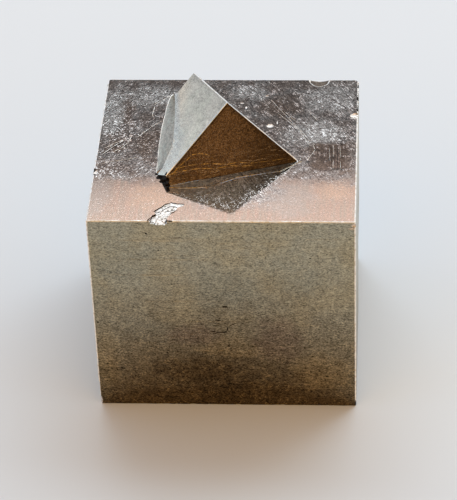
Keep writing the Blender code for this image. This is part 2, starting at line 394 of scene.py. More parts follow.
# Stretches of edge with small random nicks: start, end, how many, their size and kind
NICK_STRETCHES = (
    ((-24.0, 23.6, 44.7), (14.0, 23.6, 44.7), 18, 0.26, FLAKE),
    ((25.0, 12.5, 44.7), (25.0, 22.8, 44.7), 12, 0.34, HOLLOW),
    ((-22.0, -23.6, 0.0), (23.0, -23.6, 0.0), 14, 0.3, HOLLOW),
    ((-25.0, 22.0, 44.7), (-25.0, -4.0, 44.7), 9, 0.2, FLAKE),
    ((25.0, -23.6, 43.0), (25.0, -23.6, 2.0), 7, 0.18, FLAKE),
    ((-22.0, 23.6, 0.0), (22.0, 23.6, 0.0), 10, 0.34, FLAKE),
    ((25.0, -21.0, 0.0), (25.0, 21.0, 0.0), 10, 0.32, FLAKE),
    ((-25.0, -21.0, 0.0), (-25.0, 21.0, 0.0), 10, 0.32, FLAKE),
    ((-25.0, 23.6, 2.0), (-25.0, 23.6, 43.0), 6, 0.24, FLAKE),
    ((25.0, 23.6, 2.0), (25.0, 23.6, 43.0), 6, 0.24, FLAKE),
)
# The least and the most of a nick's radii, as shares of its size, and how far it is drawn out
NICK_RADII = (0.5, 1.4)
NICK_STRETCH = (1.0, 2.6)

# Etch pits on the front face: middle (across, up), length, height and turn in degrees
FRONT_PITS = (
    (0.2, 24.5, 1.3, 0.5, 0.0), (0.65, 14.9, 0.6, 0.5, 20.0), (-13.9, 41.8, 0.5, 0.45, 10.0),
    (-8.3, 40.8, 2.8, 0.22, 2.0), (-8.25, 9.05, 0.5, 0.45, 0.0), (-1.2, 21.2, 1.5, 0.24, -3.0),
    (-1.4, 20.0, 1.6, 0.2, 3.0), (-2.3, 18.5, 1.4, 0.3, -4.0), (-0.4, 18.3, 2.1, 0.34, 4.0),
    (0.5, 19.1, 1.1, 0.3, 80.0), (1.6, 20.2, 1.9, 0.22, 28.0), (0.0, 23.0, 1.6, 0.16, 0.0),
    (-24.2, 20.5, 0.5, 0.4, 0.0), (-11.8, 37.9, 0.4, 0.35, 0.0), (16.5, 36.2, 0.4, 0.35, 0.0),
)  # fmt: skip

# Scratches on the top face that glint: width, then the path
TOP_SCRATCHES = (
    (0.1, ((-17.4, 3.6), (-15.0, 7.0), (-13.5, 8.7))),
    (0.09, ((-23.8, -5.5), (-22.1, -4.8), (-19.5, -4.1), (-16.9, -3.3))),
    (0.11, ((-23.6, -2.1), (-22.0, 0.2), (-19.8, 2.7))),
    (0.09, ((-23.4, -0.2), (-21.9, 1.2), (-20.6, 2.2))),
    (0.1, ((-21.9, -1.6), (-20.4, -0.4), (-19.2, 1.6), (-18.6, 3.9))),
    (0.13, ((-14.9, 14.0), (-15.1, 12.5), (-15.2, 11.1), (-15.0, 10.4))),
    (0.09, ((-12.1, 17.7), (-12.8, 17.0), (-14.1, 15.6), (-15.0, 14.6))),
    (0.26, ((-25.1, -6.8), (-24.7, -8.1), (-23.9, -8.7))),
    (0.08, ((7.8, 16.4), (12.8, 7.8), (16.0, 2.1))),
    (0.07, ((9.3, 11.9), (13.6, 6.1), (15.9, 0.8))),
    (0.07, ((10.6, 12.4), (13.2, 8.6))),
    (0.08, ((15.2, 12.7), (17.2, 9.2))),
    (0.08, ((16.4, 1.5), (16.9, -0.5), (16.3, -2.2), (15.4, -4.2))),
    (0.05, ((19.65, 0.2), (19.75, -4.0))),
    (0.06, ((20.35, 1.2), (20.45, -2.8))),
    (0.05, ((20.45, -3.6), (20.55, -7.0))),
    (0.06, ((21.7, 0.4), (21.8, -3.2))),
    (0.05, ((21.8, -4.2), (21.9, -7.0))),
    (0.24, ((8.8, 5.0), (10.25, 2.3), (12.05, -0.6), (13.15, -2.7), (13.9, -4.3))),
)

# Grooves beside them that stay dark: width, then the path
DARK_SCRATCHES = (
    (0.24, ((-23.7, -2.6), (-22.0, -0.25), (-19.8, 2.2))),
    (0.2, ((-21.4, -1.5), (-20.0, -0.2), (-19.0, 1.9))),
    (0.16, ((-23.5, -0.7), (-21.8, 0.8), (-20.4, 1.9))),
    (0.12, ((9.6, 11.0), (13.3, 5.9))),
    (0.1, ((12.9, 8.7), (15.9, 2.9))),
    (0.12, ((20.1, 1.0), (20.2, -7.0))),
    (0.12, ((21.2, 0.9), (21.3, -6.8))),
    (0.14, ((17.0, 1.5), (18.2, 1.9), (20.4, 1.6), (22.4, 1.2))),
)

# Fine lines on the small cube's left face, and wrinkles low on its front face
LEFT_FACE_LINES = (
    ((-11.45, -7.8, 45.95), (-9.8, -8.0, 47.6), (-8.3, -8.4, 49.2)),
    ((-8.45, -3.2, 48.75), (-6.9, -4.1, 50.35), (-4.4, -5.6, 52.95)),
)
FRONT_FACE_LINES = (
    ((-6.95, -10.01, 48.75), (-6.08, -9.38, 49.59), (-4.89, -8.96, 49.64), (-3.46, -8.61, 49.31),
     (-2.54, -8.52, 48.74)),
    ((-9.54, -11.58, 46.96), (-8.4, -10.94, 47.62), (-6.97, -10.36, 47.85), (-4.51, -9.61, 47.64),
     (-2.25, -8.97, 47.34), (0.63, -8.25, 46.69), (2.7, -7.54, 46.71), (4.76, -7.07, 46.13),
     (6.52, -6.52, 46.01), (8.91, -5.79, 45.83), (11.72, -4.86, 45.78)),
    ((-10.36, -11.93, 46.77), (-8.41, -11.18, 47.01), (-6.36, -10.47, 47.04), (-4.11, -9.8, 46.82),
     (-1.44, -9.09, 46.33), (1.04, -8.23, 46.37), (3.31, -7.67, 45.85), (5.59, -6.96, 45.7)),
    ((-9.33, -11.38, 47.29), (-6.95, -9.97, 48.85)),
)  # fmt: skip

# Growth steps, where a face dropped back by a hair: name and corners of each block cut away
GROWTH_STEPS = (
    ("left_step", (-26.0, -30.0, -1.0), (-24.8, 30.0, 5.6)),
    ("back_step", (-30.0, 23.3, -1.0), (30.0, 26.0, 7.4)),
    ("back_upper_step", (6.5, 23.45, 7.0), (30.0, 26.0, 19.0)),
    ("right_step", (24.75, 9.0, -1.0), (26.0, 30.0, 15.5)),
)

# Striations, the slim hollows that run one way on each side face: name, normal, direction, number
STRIATED_FACES = (
    ("front", (0, -1, 0), (1, 0, 0), 22),
    ("back", (0, 1, 0), (1, 0, 0), 22),
    ("left", (-1, 0, 0), (0, 0, 1), 18),
    ("right", (1, 0, 0), (0, 0, 1), 18),
)
# The least and the most of their half length, as a share of the face's, their half width and depth
STRIATION_LENGTH = (0.1, 0.42)
STRIATION_WIDTH = (0.08, 0.3)
STRIATION_DEPTH = (0.015, 0.04)
STRIATION_MARGIN = 1.0 * MM  # left free at a face's ends
STRIATION_SPREAD = 0.94  # of a face's half width


def small_cube(shape_settings, collection):
    """The part of the small cube that shows, with its front left corner broken off."""
    side = shape_settings.small_side
    half = Matrix.Translation(Vector((side, side, side)) / 2)
    place = Matrix.Translation(APEX) @ SMALL_TURN.to_matrix().to_4x4() @ half
    wear, waviness = shape_settings.small_edge, shape_settings.waviness
    shape = worn_block((side,) * 3, SMALL_CUTS, wear, place, waviness)
    towards_front = -SMALL_TURN.to_matrix().col[2]
    for face in shape.faces:
        if face.material_index != EDGE:
            in_front = face.normal.dot(towards_front) > ALIGNED
            face.material_index = SMALL_FRONT if in_front else SMALL
    cut_off(shape, (0.0, 0.0, TOP - ROOT_DEPTH), (0.0, 0.0, -1.0), SMALL)
    for points in CORNER_BREAKS:
        first, second, third = (on_top(*point) for point in points)
        cut_off(shape, first, (third - first).cross(second - first), HOLLOW)
    return object_from(shape, "small_cube", collection)


def foot_facet(collection):
    """A wedge that fills the corner between the top face and the small cube's left face."""
    outer = [on_top(x, y, -RIM_SINK) for x, y in FOOT_OUTER]
    inner = [on_top(x, y, height) for x, y, height in FOOT_INNER]
    root = [on_top(x + ROOT_INWARDS, y, -ROOT_DOWN) for x, y in FOOT_OUTER]
    tool_from(hull(outer + inner + root), "foot_facet", collection, FOOT)


def foot_lines(collection):
    """Lines where the foot facet, the front ledge and the front face meet the top face. Most take
    the near-white edge finish as painted highlights; the foot line is dark.
    """
    ledge = LEDGES[0][2]
    lines = (
        ("rim", FOOT_OUTER, 0.0, 0.22, EDGE),
        ("ledge_left", ledge[1:4], 0.0, 0.08, EDGE),
        ("ledge_middle", ledge[4:9], 0.0, 0.08, EDGE),
        ("ledge_right", ledge[9:12], 0.0, 0.1, EDGE),
        ("foot_left", CONTACT_LINE[:2], 0.1, 0.1, EDGE),
        ("foot", CONTACT_LINE[1:], 0.1, 0.2, HOLLOW),
    )
    for name, path, height, width, kind in lines:
        top_grooves(f"{name}_line", path, width, FOOT_LINE_DEPTH, collection, kind, height)


def growth_ledges(collection):
    """Slabs a hair high round the small cube's foot, with sloping rims."""
    for number, (height, slope, outline) in enumerate(LEDGES, 1):
        points = [Vector(point) for point in outline]
        middle = sum(points, Vector((0.0, 0.0))) / len(points)
        shrunk = [point - (point - middle).normalized() * slope for point in points]
        shape = prism([on_top(x, y) for x, y in outline], [on_top(x, y, height) for x, y in shrunk])
        for vert in shape.verts:
            if vert.co.z < TOP + 0.5 * height * MM:
                vert.co.z -= LEDGE_SINK * MM
        tool_from(shape, f"growth_ledge_{number}", collection, MIRROR, (FOOT, 10))


def flake_scar(collection):
    """Rough sloping floors that overlap, deepest where they run out through the front face."""
    for number, (back_depth, front_depth, outline) in enumerate(SCAR_FLOORS, 1):
        back = max(y for _, y in outline)
        slope = (front_depth - back_depth) / (back - min(y for _, y in outline))
        lower = [on_top(x, y, -back_depth - slope * (back - y)) for x, y in outline]
        upper = [on_top(x, y, 1.0) for x, y in outline]
        shape = prism(lower, upper)
        bmesh.ops.triangulate(shape, faces=shape.faces)
        bmesh.ops.subdivide_edges(shape, edges=shape.edges[:], cuts=3)
        roughened(shape, *SCAR_ROUGHNESS)
        tool_from(shape, f"scar_floor_{number}", collection, FLAKE, (HOLLOW, 60))


def corner_bites(collection):
    """Small rough bites that make the broken corner's rim uneven."""
    for number, (centre, radii) in enumerate(CORNER_BITES, 1):
        shape = ellipsoid(Matrix.Translation(on_top(*centre)), Vector(radii) * MM, 2)
        tool_from(roughened(shape, *BITE_ROUGHNESS), f"corner_bite_{number}", collection, HOLLOW)


def edge_flakes(collection):
    """Flakes and nicks, each at its own place. The scallop has a smooth floor and a bright rim."""
    for name, centre, radii, subdivisions in FLAKES:
        place = Matrix.Translation(Vector(centre) * MM)
        shape = roughened(ellipsoid(place, Vector(radii) * MM, subdivisions), *FLAKE_ROUGHNESS)
        # The scallop's rim takes the near-white edge finish: partly a painted highlight
        if name == "back_scallop":
            tool_from(shape, name, collection, SMALL, (EDGE, 22))
        else:
            tool_from(shape, name, collection, FLAKE)


def cracks(collection):
    """Dark cracks, each as deep as its table says."""
    for number, (width, depth, path) in enumerate(CRACKS, 1):
        top_grooves(f"crack_{number}", path, width, depth, collection, HOLLOW)


def edge_nicks(chance, collection):
    """Small nicks at random places along the worn edges, drawn out along them."""
    for number, (start, end, count, size, kind) in enumerate(NICK_STRETCHES, 1):
        start, end = Vector(start) * MM, Vector(end) * MM
        along = (end - start).normalized()
        for step in range(count):
            share = (step + chance.uniform(0.1, 0.9)) / count
            radii = [size * chance.uniform(*NICK_RADII) * MM for _ in range(3)]
            stretch = chance.uniform(*NICK_STRETCH)
            radii = [r * (stretch if abs(a) > 0.5 else 1.0) for r, a in zip(radii, along)]
            shape = ellipsoid(Matrix.Translation(start.lerp(end, share)), radii, 1)
            tool_from(shape, f"nick_{number}_{step + 1}", collection, kind)


def front_pits(collection):
    """Shallow etch pits in the front face."""
    normal = Vector((0.0, -1.0, 0.0))
    for number, (across, up, length, height, turn) in enumerate(FRONT_PITS, 1):
        along = Vector((cos(radians(turn)), 0.0, sin(radians(turn))))
        place = Matrix.Translation((across * MM, FRONT, up * MM)) @ facing(along, normal)
        shape = ellipsoid(place, (length * MM / 2, height * MM / 2, PIT_DEPTH * MM), 1)
        tool_from(shape, f"front_pit_{number}", collection, HOLLOW)


def top_scratches(collection):
    """Scratches that glint, and the dark grooves beside them."""
    for number, (width, path) in enumerate(TOP_SCRATCHES, 1):
        top_grooves(f"scratch_{number}", path, width, SCRATCH_DEPTH, collection, EDGE)
    for number, (width, path) in enumerate(DARK_SCRATCHES, 1):
        top_grooves(f"dark_scratch_{number}", path, width, SCRATCH_DEPTH, collection, HOLLOW)


def small_cube_lines(collection):
    """Fine lines in the small cube's left face, and wrinkles in its front face."""
    right, _, back = (SMALL_TURN.to_matrix().col[axis] for axis in range(3))
    lines = (
        ("left", -right, LEFT_FACE_LINES, FOOT),
        ("front", -back, FRONT_FACE_LINES, SMALL_FRONT),
    )
    for name, normal, paths, kind in lines:
        for number, path in enumerate(paths, 1):
            points = [Vector(point) * MM for point in path]
            grooves(f"{name}_line_{number}", points, normal, *FACE_LINE, collection, kind)


def striations(chance, collection):
    """Slim hollows at random places on the side faces."""
    for name, normal, along, count in STRIATED_FACES:
        normal, along = Vector(normal), Vector(along)
        across = normal.cross(along)
        out = Vector([part * side / 2 for part, side in zip(normal, SIZE)])
        middle = Vector((0.0, 0.0, TOP / 2)) + out
        reach = [abs(axis.dot(SIZE)) / 2 for axis in (along, across)]
        for number in range(count):
            length = chance.uniform(*STRIATION_LENGTH) * reach[0]
            shift = along * chance.uniform(-1.0, 1.0) * (reach[0] - length - STRIATION_MARGIN)
            shift += across * chance.uniform(-STRIATION_SPREAD, STRIATION_SPREAD) * reach[1]
            place = Matrix.Translation(middle + shift) @ facing(along, normal)
            width, depth = (chance.uniform(*span) for span in (STRIATION_WIDTH, STRIATION_DEPTH))
            hollow = ellipsoid(place, (length, width * MM, depth * MM), 2)
            tool_from(hollow, f"{name}_striation_{number + 1}", collection, SATIN)


def growth_steps(collection):
    """Blocks that are cut away where a face dropped back."""
    for name, low, high in GROWTH_STEPS:
        low, high = Vector(low) * MM, Vector(high) * MM
        shape = bmesh.new()
        place = Matrix.Translation((low + high) / 2) @ Matrix.Diagonal((*(high - low), 1.0))
        bmesh.ops.create_cube(shape, size=1.0, matrix=place)
        tool_from(shape, name, collection, SATIN)


def large_cube(shape_settings):
    """The large cube, its faces marked with their kind of surface."""
    place = Matrix.Translation((0.0, 0.0, TOP / 2))
    wear, waviness = shape_settings.edge_wear, shape_settings.waviness
    shape = worn_block(SIZE, shape_settings.fineness, wear, place, waviness)
    for face in shape.faces:
        if face.material_index != EDGE:
            face.material_index = MIRROR if face.normal.z > ALIGNED else SATIN
    return shape


# ---------------------------------------------------------------- shader graph helpers


class Number:
    """A number socket that takes part in ordinary arithmetic, adding Math nodes as it goes."""

    def __init__(self, graph, socket):
        self.graph = graph
        self.socket = socket

    def maths(self, operation, *values, clamp=False):
        """The result of a Math node."""
        settings = {"operation": operation, "use_clamp": clamp}
        return self.graph.number("ShaderNodeMath", settings, dict(enumerate(values)))

    def __add__(self, other):
        return self.maths("ADD", self, other)

    def __sub__(self, other):
        return self.maths("SUBTRACT", self, other)

    def __rsub__(self, other):
        return self.maths("SUBTRACT", other, self)

    def __mul__(self, other):
        return self.maths("MULTIPLY", self, other)

    def __truediv__(self, other):
        return self.maths("DIVIDE", self, other)

    def __abs__(self):
        return self.maths("ABSOLUTE", self)

    __radd__ = __add__
    __rmul__ = __mul__

    def swing(self, amount):
        """How far the value lies over or under 0.5, times an amount."""
        return (self - 0.5) * amount

    def held(self):
        """The value kept between 0 and 1."""
        return self.maths("ADD", self, 0.0, clamp=True)

    def over(self, low, high):
        """0 below low, 1 above high, and a smooth step between them. High may be the lower one."""
        settings = {"interpolation_type": "SMOOTHSTEP"}
        values = {"Value": self, "From Min": low, "From Max": high}
        return self.graph.number("ShaderNodeMapRange", settings, values)


class Graph:
    """Adds nodes to a node tree."""

    def __init__(self, tree):
        self.tree = tree
        tree.nodes.clear()

    def node(self, kind, settings=None, values=None):
        """A node of any type: its settings are set first, then its sockets' values or links."""
        made = self.tree.nodes.new(kind)
        for name, value in (settings or {}).items():
            setattr(made, name, value)
        for key, value in (values or {}).items():
            if isinstance(value, Number):
                value = value.socket
            if isinstance(value, bpy.types.NodeSocket):
                self.tree.links.new(value, made.inputs[key])
            else:
                made.inputs[key].default_value = value
        return made

    def number(self, kind, settings=None, values=None, output=0):
        """A node whose output takes part in arithmetic."""
        return Number(self, self.node(kind, settings, values).outputs[output])

    def mix(self, factor, first, second, blend="MIX"):
        """Two colours mixed. Colours are sockets or three numbers."""
        colours = [c if isinstance(c, bpy.types.NodeSocket) else (*c, 1.0) for c in (first, second)]
        settings = {"data_type": "RGBA", "blend_type": blend}
        values = {"Factor": factor, 6: colours[0], 7: colours[1]}
        return self.node("ShaderNodeMix", settings, values).outputs[2]

    def shaded(self, colour, shade):
        """A colour multiplied by one number."""
        grey = self.node("ShaderNodeCombineColor", {}, {0: shade, 1: shade, 2: shade}).outputs[0]
        return self.mix(1.0, colour, grey, "MULTIPLY")

    def vector(self, operation, *values):
        """The result of a Vector Math node."""
        settings = {"operation": operation}
        return self.node("ShaderNodeVectorMath", settings, dict(enumerate(values))).outputs[0]

    def mapped(self, vector, turn=(0.0, 0.0, 0.0), scale=(1.0, 1.0, 1.0), shift=(0.0, 0.0, 0.0)):
        """A vector turned by degrees and shifted, then scaled."""
        angles = [radians(angle) for angle in turn]
        values = {"Vector": vector, "Rotation": angles, "Location": shift}
        return self.vector("MULTIPLY", self.node("ShaderNodeMapping", {}, values).outputs[0], scale)

    def noise(self, vector, scale, detail, roughness=0.5, distortion=0.0):
        """A soft noise between 0 and 1."""
        values = {
            "Vector": vector, "Scale": scale, "Detail": detail, "Roughness": roughness,
            "Distortion": distortion,
        }  # fmt: skip
        return self.number("ShaderNodeTexNoise", {}, values)

    def cells(self, vector, scale):
        """How far a point lies from the nearest of many scattered points."""
        values = {"Vector": vector, "Scale": scale}
        return self.number("ShaderNodeTexVoronoi", {}, values, "Distance")

    def millimetres(self):
        """The piece's own Object coordinates in millimetres."""
        place = self.node("ShaderNodeTexCoord").outputs["Object"]
        return self.vector("MULTIPLY", place, (1000.0, 1000.0, 1000.0))

    def parts(self, vector):
        """The three numbers of a vector."""
        split = self.node("ShaderNodeSeparateXYZ", {}, {0: vector})
        return [Number(self, output) for output in split.outputs]


def threads(field, width):
    """Thin winding lines where a noise field crosses its middle value."""
    return 1.0 - (abs(field - 0.5) / width).held()


def finished(name, finish, settings):
    """A material. Its finish adds the nodes and returns the shader's values and links."""
    material = bpy.data.materials.new(name)
    material.use_nodes = True
    graph = Graph(material.node_tree)
    shader = graph.node("ShaderNodeBsdfPrincipled", {}, finish(graph, settings))
    graph.node("ShaderNodeOutputMaterial", {}, {"Surface": shader.outputs[0]})
    return material


def metal(graph, colour, roughness, height, bump_size, metallic=1.0):
    """The shader's values for a metal, whose height gives a bump of a size in millimetres."""
    bump = graph.node("ShaderNodeBump", {}, {"Height": height, "Distance": bump_size * MM})
    return {
        "Base Color": colour,
        "Metallic": metallic,
        "Roughness": roughness,
        "Normal": bump.outputs[0],
    }


# ---------------------------------------------------------------- finishes

# Where the etched part of the top face is hazy, crumbly or brown: middle and reach
HAZE_SPOTS = (
    (-14.5, 17.5, 7.0, 4.0), (16.5, 5.0, 6.5, 4.5), (20.0, 17.0, 6.0, 6.0), (-23.0, 13.0, 2.5, 9.0),
    (3.5, 19.0, 4.0, 3.0),
)  # fmt: skip
CRUMBLY_SPOTS = (
    (-22.3, -8.2, 3.5, 2.6), (21.5, 4.5, 3.5, 2.5), (-20.5, 4.0, 3.5, 6.0), (9.5, -9.0, 4.0, 2.2),
    (1.4, -18.2, 2.2, 1.6),
)  # fmt: skip
BROWN_SPOTS = (
    (-20.5, 13.0, 2.2, 5.0), (-21.5, -0.5, 2.2, 1.6), (-15.2, 1.5, 2.4, 5.0),
    (10.4, 13.7, 4.5, 4.5),
)  # fmt: skip

# Where its calm front is rosier or paler, and where the small cube's front face is mirrored in it:
# more scratches there, and a painted grey tint
ROSY_SPOTS = ((-12.0, -15.5, 5.5, 5.5), (21.0, -13.0, 4.0, 4.0))
PALE_SPOTS = ((-24.5, -15.0, 3.5, 8.0), (12.0, -16.5, 5.5, 6.0))
MIRRORED_SPOTS = ((1.0, -13.5, 9.5, 6.0),)

# Where the bright rims of the front ledge, partly a painted highlight, are cooler
LEDGE_SPOTS = ((2.0, -9.0, 13.0, 5.5),)

# Where the front face is golden, green, purplish or dark: middle (across, up) and reach
GOLD_PATCHES = (
    (-10.5, 42.3, 5.0, 2.6), (-7.0, 24.5, 3.2, 4.0), (1.5, 14.5, 7.0, 2.6), (18.5, 8.5, 6.0, 4.5),
    (-23.0, 12.0, 2.4, 7.5), (-10.5, 34.0, 3.0, 4.0), (22.0, 27.0, 3.5, 4.0),
)  # fmt: skip
GREEN_PATCHES = (
    (0.0, 28.5, 6.5, 4.5), (-19.0, 35.0, 6.0, 6.0), (-16.0, 18.5, 5.5, 3.5), (15.0, 31.0, 5.0, 4.0),
)  # fmt: skip
PURPLE_PATCHES = ((10.0, 16.5, 5.0, 5.5), (-6.0, 17.5, 5.0, 2.6))
DARK_PATCHES = (
    (-5.0, 9.0, 9.0, 3.2), (-8.0, 1.5, 14.0, 2.6), (6.0, 3.0, 12.0, 3.0), (20.0, 0.5, 6.0, 1.8),
)  # fmt: skip


def spots(graph, place, middles, upright=False):
    """1 in the middle of each spot and 0 outside it, with ragged rims. The spots lie on the level
    faces, or on the upright front face."""
    across, along, up = graph.parts(place)
    along = up if upright else along
    ragged = graph.noise(place, 0.4, 4.0, 0.65).swing(2.6)
    total = 0.0
    for middle_across, middle_along, reach_across, reach_along in middles:
        off, away = (across - middle_across) / reach_across, (along - middle_along) / reach_along
        total = total + (off * off + away * away + ragged).over(1.6, 0.0)
    return total.held()


def mirror_face(graph, finish):
    """The polished top face: calm near the front, and etched with fine winding scratches behind."""
    place = graph.millimetres()
    x, y, _ = graph.parts(place)
    wander = graph.noise(place, 0.3, 3.0, 0.6)
    # The etched part, with its hazy, brown and bared patches
    etched = (y + wander.swing(7.0)).over(-13.0, -8.5)
    shown = etched * 0.55 + 0.45
    hazy = spots(graph, place, HAZE_SPOTS)
    brown = spots(graph, place, BROWN_SPOTS)
    uneven = wander.swing(3.0)
    bared = (x + uneven).over(15.0, 17.4) * (x + uneven).over(24.6, 22.4)
    bared *= (y + uneven * 0.3).over(2.0, 1.0) * (y + uneven).over(-10.0, -5.5)
    comb = threads(graph.noise(graph.mapped(place, scale=(1.2, 0.05, 1.0)), 1.0, 2.0, 0.6), 0.05)
    patchy = graph.noise(graph.mapped(place, shift=(31.0, 7.0, 3.0)), 0.28, 4.0, 0.6)
    base = graph.mix(patchy.over(0.4, 0.62), finish.mirror_dark, finish.mirror_grey)
    base = graph.mix(brown * 0.8, base, finish.mirror_brown)
    base = graph.mix(hazy * 0.8, base, finish.mirror_haze)
    base = graph.mix(bared * 0.85, base, finish.mirror_bare)
    sandy = graph.noise(graph.mapped(place, shift=(6.0, 3.0, 9.0)), 3.0, 2.0, 0.65) - 0.5
    base = graph.shaded(base, 1.05 + sandy * 1.6)

    # The winding scratches, which lean one way on the left and the other way on the right
    side = (x + wander.swing(14.0)).over(-3.0, 5.0)
    leaning = graph.mapped(place, turn=(0.0, 0.0, -50.0), scale=(0.45, 2.2, 1.0))
    falling = graph.mapped(
        place, turn=(0.0, 0.0, 58.0), scale=(0.35, 2.4, 1.0), shift=(9.0, 4.0, 0.0)
    )
    stroke_field = graph.noise(leaning, 1.0, 2.0, 0.6, 0.5) * (1.0 - side)
    stroke_field += graph.noise(falling, 1.0, 2.0, 0.6, 0.5) * side
    broken = graph.noise(graph.mapped(place, shift=(17.0, 2.0, 5.0)), 1.0, 2.0, 0.6).over(0.44, 0.6)
    crumbs = graph.noise(graph.mapped(place, shift=(3.0, 8.0, 1.0)), 2.3, 2.0, 0.6).over(0.52, 0.66)
    crumbly = spots(graph, place, CRUMBLY_SPOTS)
    worms = threads(stroke_field, 0.055) * broken * (0.6 + side * 0.2)
    loose = crumbs * (0.38 - side * 0.1) + crumbs * crumbly * 0.42
    marks = (worms + loose).held() * shown * (1.0 - bared * 0.6)
    mirrored_patch = spots(graph, place, MIRRORED_SPOTS)
    marks = (marks + comb * bared * broken * 0.5 + (crumbs * 0.45 + worms * 0.7) * mirrored_patch).held()
    # Painted shade: dark beside the winding scratches and in small pit-like spots
    dark_side = threads(stroke_field + 0.08, 0.05) * (0.75 + side * 0.25)
    shaded_pits = graph.noise(graph.mapped(place, shift=(1.2, 5.1, 0.0)), 2.6, 2.0, 0.65)
    dark_side += shaded_pits.over(0.5, 0.38)

    # The calm front, with its streaks
    upright = graph.mapped(place, scale=(1.7, 0.1, 1.0))
    streaks = graph.noise(upright, 1.0, 3.0, 0.65)
    blush = graph.noise(graph.mapped(place, shift=(4.0, 1.0, 0.0)), 0.16, 2.0, 0.5)
    calm = graph.mix(streaks.over(0.35, 0.65), finish.metal, finish.metal_rose)
    calm = graph.mix(blush.over(0.4, 0.65) * 0.5, calm, finish.metal_rose)
    calm = graph.mix(spots(graph, place, ROSY_SPOTS) * 0.75, calm, finish.metal_warm)
    calm = graph.mix(spots(graph, place, PALE_SPOTS) * 0.75, calm, finish.metal_pale)
    # Painted reflection: a grey tint where the small cube's front face is mirrored, to match how
    # that reflection looks
    calm = graph.mix(mirrored_patch * 0.7, calm, finish.painted_reflection_grey)
    calm = graph.shaded(calm, 1.01 + crumbs * 0.12 + streaks.swing(0.14) + sandy * 0.7)

    colour = graph.mix(etched, calm, base)
    dark_side = (dark_side * (etched * 0.65 + mirrored_patch * 0.7)).held()
    colour = graph.mix(dark_side, colour, finish.mirror_deep)
    scratch = graph.mix(etched, finish.scratch_rose, finish.scratch)
    colour = graph.mix(marks, colour, scratch)
    veil = graph.noise(place, 3.4, 2.0, 0.6).over(0.42, 0.66) * (1.0 - etched)
    roughness = 0.045 + marks * 0.19 + hazy * etched * 0.05 + streaks * 0.02 + veil * 0.04
    height = marks * 0.5 + streaks * 0.05
    return metal(graph, colour, roughness, height, 0.003)


def satin_face(graph, finish):
    """The side faces: fine grain under a patchy tarnish, and colours that grow darker downwards."""
    place = graph.millimetres()
    x, y, z = graph.parts(place)
    patches = graph.noise(graph.mapped(place, shift=(5.0, 0.0, 11.0)), 0.12, 4.0, 0.6)
    blotches = graph.noise(graph.mapped(place, shift=(2.0, 9.0, 6.0)), 0.4, 4.0, 0.65)
    grain = graph.noise(graph.mapped(place, scale=(0.6, 0.6, 1.4)), 2.2, 2.0, 0.7)
    fine = graph.noise(graph.mapped(place, scale=(0.75, 0.75, 1.35)), 4.2, 1.0, 0.6)
    dashed = graph.mapped(place, scale=(0.7, 0.7, 2.4), shift=(8.0, 2.0, 5.0))
    dashes = graph.noise(dashed, 1.3, 2.0, 0.6)
    lines = threads(graph.noise(graph.mapped(place, scale=(0.09, 0.09, 1.3)), 1.0, 3.0, 0.6), 0.012)
    on_front = y.over(-23.3, -23.5)
    golden, green, purple, dark = (
        spots(graph, place, middles, upright=True) * on_front
        for middles in (GOLD_PATCHES, GREEN_PATCHES, PURPLE_PATCHES, DARK_PATCHES)
    )

    # The tarnish's colours, a darkening from the top down, and the patches of the front face
    tarnish = graph.mix(patches.over(0.36, 0.7), finish.satin_olive, finish.satin_gold)
    height_up = z + blotches.swing(8.0)
    colour = graph.mix(height_up.over(38.0, 8.0), tarnish, finish.satin_dusk)
    colour = graph.mix((height_up + abs(x) * 0.2).over(19.0, 1.0) * 0.9, colour, finish.satin_brown)
    colour = graph.mix(dark * 0.65, colour, finish.satin_brown)
    warmed = graph.mix(height_up.over(26.0, 6.0), finish.satin_gold, finish.satin_amber)
    colour = graph.mix(golden * 0.42, colour, warmed)
    cooled = graph.mix(height_up.over(30.0, 12.0), finish.satin_grey, finish.satin_moss)
    colour = graph.mix(green * 0.5, colour, cooled)
    colour = graph.mix(purple * 0.6, colour, finish.satin_plum)
    lower = z.over(32.0, 7.0) * on_front
    layered = graph.mapped(place, scale=(0.5, 0.5, 2.2), shift=(0.0, 3.0, 6.0))
    strata = graph.noise(layered, 1.0, 4.0, 0.7)
    flecks = fine.over(0.56, 0.7) * blotches.over(0.4, 0.6)
    colour = graph.mix(flecks * (0.4 + lower * 0.25), colour, warmed)
    colour = graph.mix((1.0 - on_front) * 0.35, colour, finish.small_pale)

    # Light and dark grain, a darker middle low down, layers, dashes, lines and pits
    darker_middle = abs(x).over(17.0, 0.0) * z.over(38.0, 24.0)
    coarse = grain.swing(0.9) + fine.swing(2.0) + blotches.swing(0.45)
    shade = 0.97 - darker_middle * 0.1 + coarse * (on_front * 0.45 + 0.55 + lower * 0.5)
    shade += (strata - 0.5) * lower * 1.5
    # The light dashes are painted glints
    dashed_shade = dashes.over(0.6, 0.74) * 0.35 - dashes.over(0.4, 0.26) * 0.35
    shade += dashed_shade * (on_front * 0.6 + 0.4)
    shade -= lines * (0.2 + z.over(14.0, 9.0) * 0.45)
    colour = graph.shaded(colour, shade)
    pits = graph.cells(graph.mapped(place, scale=(1.0, 1.0, 1.4)), 0.55).over(0.075, 0.03)
    colour = graph.mix(pits * 0.7, colour, finish.hollow)
    roughness = 0.3 + patches * 0.1 + fine * 0.08
    height = grain * 0.6 + fine * 0.5
    return metal(graph, colour, roughness, height, 0.004)


def along_face(graph, place, direction):
    """How far a point lies from the small cube's apex along one of its edges, in millimetres."""
    from_apex = graph.vector("SUBTRACT", place, [c / MM for c in APEX])
    settings, values = {"operation": "DOT_PRODUCT"}, {0: from_apex, 1: tuple(direction)}
    return graph.number("ShaderNodeVectorMath", settings, values, "Value")


